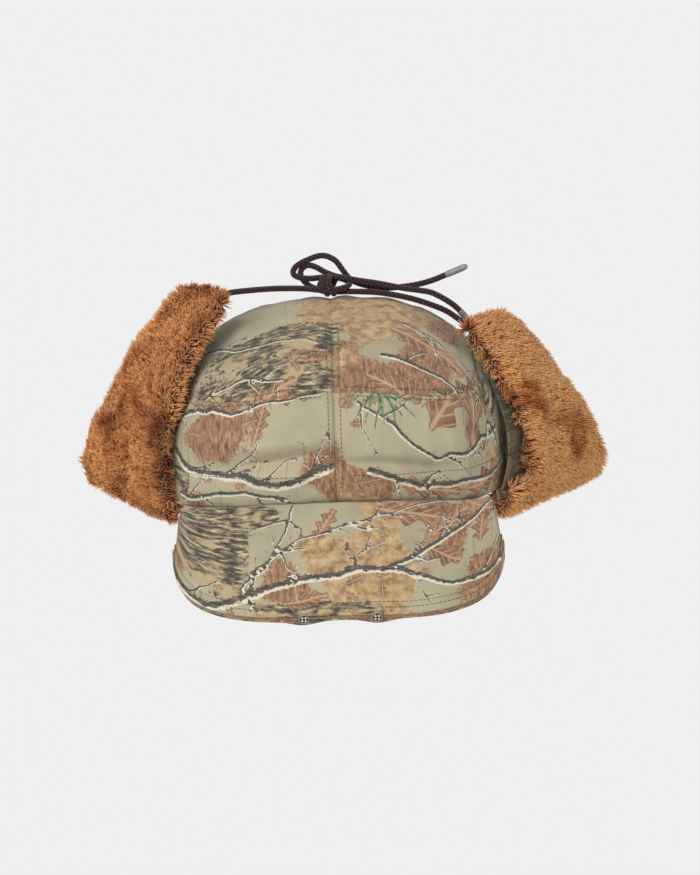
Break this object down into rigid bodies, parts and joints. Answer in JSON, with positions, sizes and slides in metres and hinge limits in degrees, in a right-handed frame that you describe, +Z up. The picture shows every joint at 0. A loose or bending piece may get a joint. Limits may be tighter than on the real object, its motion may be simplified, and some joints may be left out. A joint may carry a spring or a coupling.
{
  "type": "trapper hat",
  "caption": "Cloth trapper hat with fur ear flaps and neck flap that fold down, a tie cord over the crown and a brim that holds small lights with a coin-cell case.",
  "frame": {"origin": "centre of the head opening, level with the bottom of the brim seam's arch", "axes": "+Z up through the crown, -Y towards the brim, +X towards the wearer's left"},
  "size_m": [0.3005, 0.2625, 0.1322],
  "materials": {
    "camo_cloth": "printed twill",
    "fur": "long pile",
    "wadding": "soft",
    "lining_cloth": "quilted",
    "sweatband_cloth": "matt tape",
    "brim_board": "matt",
    "black_plastic": "satin",
    "lens": "clear",
    "wire": "matt",
    "steel": "brushed",
    "contact_brass": "satin",
    "board": "satin",
    "cord": "braided",
    "aglet_plastic": "clear tube"
  },
  "bodies": {
    "root": {"crown_front_left": "camo_cloth", "crown_front_right": "camo_cloth", "crown_top_left": "camo_cloth", "crown_top_right": "camo_cloth", "crown_back_left": "camo_cloth", "crown_back_right": "camo_cloth", "lining_left": "lining_cloth", "lining_right": "lining_cloth", "sweatband": "sweatband_cloth", "brim_top_cover": "camo_cloth", "brim_stiffener": "brim_board", "brim_under_cover": "camo_cloth", "brim_piping": "camo_cloth", "light_bezel_left": "black_plastic", "light_bezel_right": "black_plastic", "light_lens_left": "lens", "light_lens_right": "lens", "light_wire_left": "wire", "light_wire_right": "wire", "battery_case": "black_plastic", "battery_cover": "black_plastic", "cover_screw": "steel", "coin_cell_left": "steel", "coin_cell_right": "steel", "battery_contact": "contact_brass", "circuit_board": "board", "band_shell": "camo_cloth", "band_fur": "fur"},
    "switch_button": {"switch_button": "black_plastic"},
    "ear_flap_left": {"ear_flap_left_shell": "camo_cloth", "ear_flap_left_wadding": "wadding", "ear_flap_left_fur": "fur"},
    "ear_flap_right": {"ear_flap_right_shell": "camo_cloth", "ear_flap_right_wadding": "wadding", "ear_flap_right_fur": "fur"},
    "neck_flap": {"neck_flap_shell": "camo_cloth", "neck_flap_wadding": "wadding", "neck_flap_fur": "fur"},
    "tie_half_left": {"tie_cord_left": "cord", "tie_bow_left": "cord", "tie_knot": "cord", "aglet_left": "aglet_plastic"},
    "tie_half_right": {"tie_cord_right": "cord", "tie_bow_right": "cord", "aglet_right": "aglet_plastic"}
  },
  "joints": [
    {"name": "ear_flap_left_fold", "type": "hinge", "parent": "root", "child": "ear_flap_left", "pos_m": [-0.1145, -0.019, -0.018], "axis": [0.6169, -0.7806, 0.1007], "range_deg": [0, 175]},
    {"name": "ear_flap_right_fold", "type": "hinge", "parent": "root", "child": "ear_flap_right", "pos_m": [0.118, -0.018, -0.018], "axis": [0.6556, 0.7493, -0.0937], "range_deg": [0, 175]},
    {"name": "neck_flap_fold", "type": "hinge", "parent": "root", "child": "neck_flap", "pos_m": [0, 0.098, -0.016], "axis": [-1, 0, 0], "range_deg": [0, 150]},
    {"name": "tie_half_left_swing", "type": "hinge", "parent": "ear_flap_left", "child": "tie_half_left", "pos_m": [-0.066, 0.019, 0.084], "axis": [0.6169, -0.7806, 0.1007], "range_deg": [0, 92]},
    {"name": "tie_half_right_swing", "type": "hinge", "parent": "ear_flap_right", "child": "tie_half_right", "pos_m": [0.08, 0.02, 0.0605], "axis": [0.6556, 0.7493, -0.0937], "range_deg": [0, 72.8]},
    {"name": "switch_press", "type": "slide", "parent": "root", "child": "switch_button", "axis": [0, -0.5, 0.866], "range_m": [0, 0.001], "stiffness_N_per_m": 300}
  ],
  "couplings": [
    {"joint": "tie_half_left_swing", "follows": "ear_flap_left_fold", "ratio": 0.52},
    {"joint": "tie_half_right_swing", "follows": "ear_flap_right_fold", "ratio": 0.41}
  ]
}
